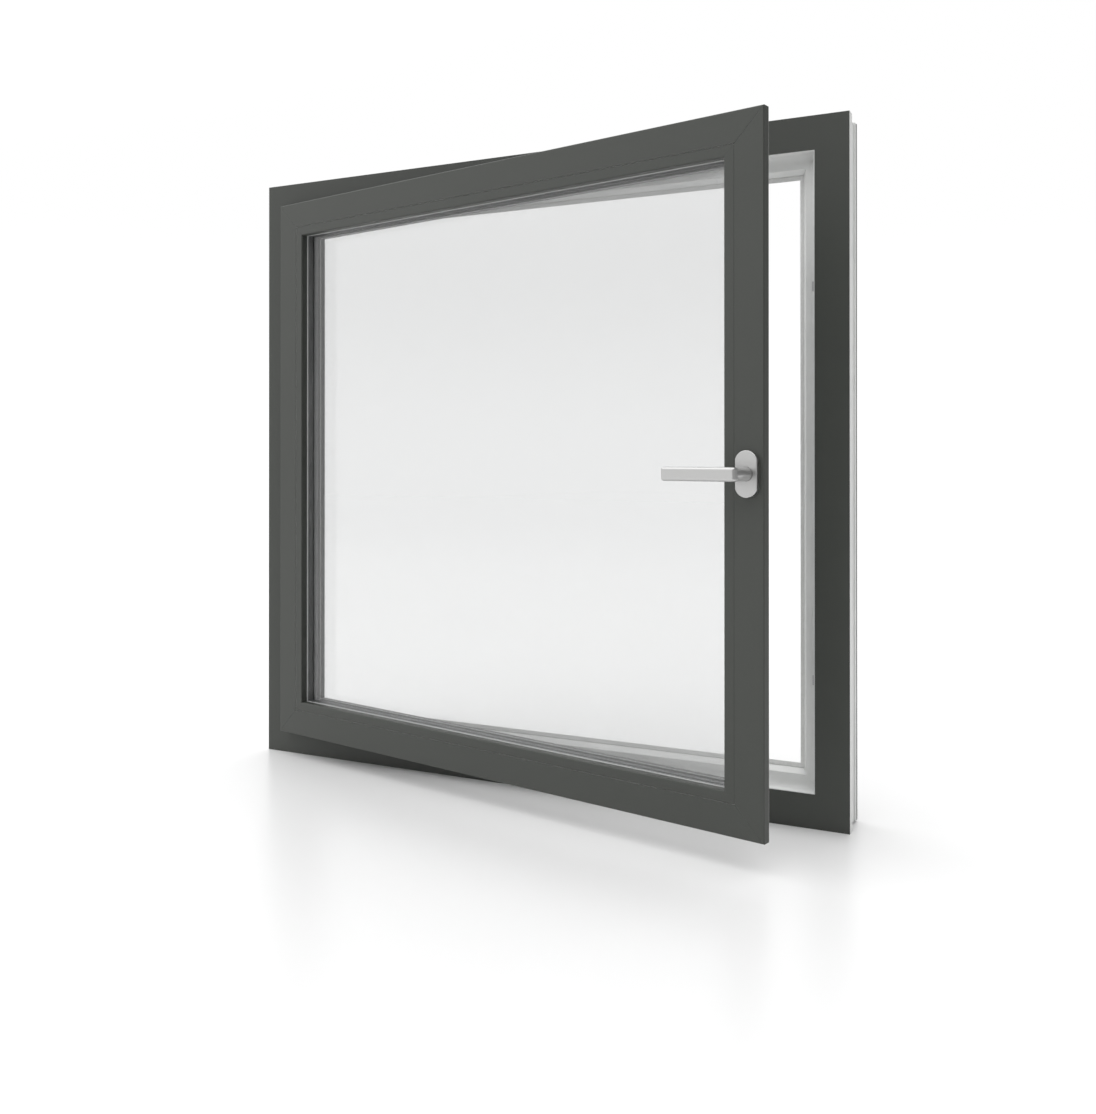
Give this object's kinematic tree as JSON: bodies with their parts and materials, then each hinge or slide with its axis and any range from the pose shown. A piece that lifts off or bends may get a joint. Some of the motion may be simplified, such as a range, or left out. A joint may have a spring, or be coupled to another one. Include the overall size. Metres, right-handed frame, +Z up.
{
  "type": "casement window",
  "caption": "Side-hung casement window: mitred hollow frame and inward-opening sash, triple glazing, dark grey faces, oval rosette with a lever that drives locking rods.",
  "frame": {"origin": "middle of the frame's underside, on the strip it stands on, 10 mm behind the room face", "axes": "+Z up, +Y from the room to the outside, +X from the hinge side to the lock side"},
  "size_m": [1.2, 0.3849, 1.175],
  "materials": {
    "white_profile": "smooth white window profile, slightly satin",
    "decor_foil": "dark grey laminated film with a fine matt grain",
    "dark_bead": "dark grey matt profile",
    "cladding": "dark grey powder-coated aluminium",
    "light_seal": "light grey soft seal",
    "pane": "clear float glass",
    "spacer": "matt grey spacer bar",
    "sealant": "black edge sealant",
    "packer": "moulded packer",
    "galvanised_steel": "galvanised steel section",
    "gear_steel": "silver passivated steel",
    "screw_steel": "zinc-plated screw",
    "satin_metal": "satin natural metal",
    "rosette_plastic": "moulded base plate"
  },
  "bodies": {
    "frame": {"frame_sill": "white_profile", "frame_lock_jamb": "white_profile", "frame_head": "white_profile", "frame_hinge_jamb": "white_profile", "frame_decor_foil": "decor_foil", "frame_reinforcements": "galvanised_steel", "frame_seal": "light_seal", "frame_cladding": "cladding", "drain_caps": "cladding", "keeps": "gear_steel", "keep_screws": "screw_steel", "lower_hinge_bracket": "gear_steel", "upper_hinge_bracket": "gear_steel", "hinge_pins": "gear_steel", "hinge_bracket_screws": "screw_steel"},
    "sash": {"sash_bottom_rail": "white_profile", "sash_lock_stile": "white_profile", "sash_top_rail": "white_profile", "sash_hinge_stile": "white_profile", "glazing_bead_bottom": "dark_bead", "glazing_bead_lock_side": "dark_bead", "glazing_bead_top": "dark_bead", "glazing_bead_hinge_side": "dark_bead", "sash_decor_foil": "decor_foil", "sash_reinforcements": "galvanised_steel", "sash_cladding": "cladding", "overlap_seal": "light_seal", "bead_seal": "light_seal", "outer_glazing_seal": "light_seal", "inner_pane": "pane", "middle_pane": "pane", "outer_pane": "pane", "inner_spacer_bars": "spacer", "outer_spacer_bars": "spacer", "edge_sealant": "sealant", "glazing_blocks": "packer", "lower_sash_hinge": "gear_steel", "upper_sash_hinge": "gear_steel", "sash_hinge_screws": "screw_steel", "lock_side_faceplate": "gear_steel", "top_faceplate": "gear_steel", "bottom_faceplate": "gear_steel", "corner_drives": "gear_steel", "faceplate_screws": "screw_steel", "gearbox_case": "gear_steel", "gearbox_cover": "gear_steel", "rosette_base": "rosette_plastic", "rosette_cover": "satin_metal", "rosette_screws": "screw_steel"},
    "handle": {"handle_lever": "satin_metal", "handle_spindle": "gear_steel", "drive_pinion": "gear_steel"},
    "lock_side_gear": {"lock_side_drive_rod": "gear_steel", "lock_side_cams": "gear_steel"},
    "top_gear": {"top_drive_rod": "gear_steel", "top_cams": "gear_steel"},
    "bottom_gear": {"bottom_drive_rod": "gear_steel", "bottom_cams": "gear_steel"}
  },
  "joints": [
    {"name": "sash_turn", "type": "hinge", "parent": "frame", "child": "sash", "pos_m": [-0.544, -0.0225, 0.5875], "axis": [0, 0, -1], "range_deg": [-11.85, 78.15]},
    {"name": "handle_turn", "type": "hinge", "parent": "sash", "child": "handle", "pos_m": [0.50243, -0.25075, 0.5875], "axis": [-0.2053, -0.9787, 0], "range_deg": [0, 90]},
    {"name": "lock_side_rod_slide", "type": "slide", "parent": "sash", "child": "lock_side_gear", "axis": [0, 0, -1], "range_m": [0, 0.01768]},
    {"name": "top_rod_slide", "type": "slide", "parent": "sash", "child": "top_gear", "axis": [0.9787, -0.2053, 0], "range_m": [0, 0.01768]},
    {"name": "bottom_rod_slide", "type": "slide", "parent": "sash", "child": "bottom_gear", "axis": [-0.9787, 0.2053, 0], "range_m": [0, 0.01768]}
  ],
  "couplings": [
    {"joint": "lock_side_rod_slide", "follows": "handle_turn", "m_per_rad": 0.01125},
    {"joint": "top_rod_slide", "follows": "handle_turn", "m_per_rad": 0.01125},
    {"joint": "bottom_rod_slide", "follows": "handle_turn", "m_per_rad": 0.01125}
  ]
}
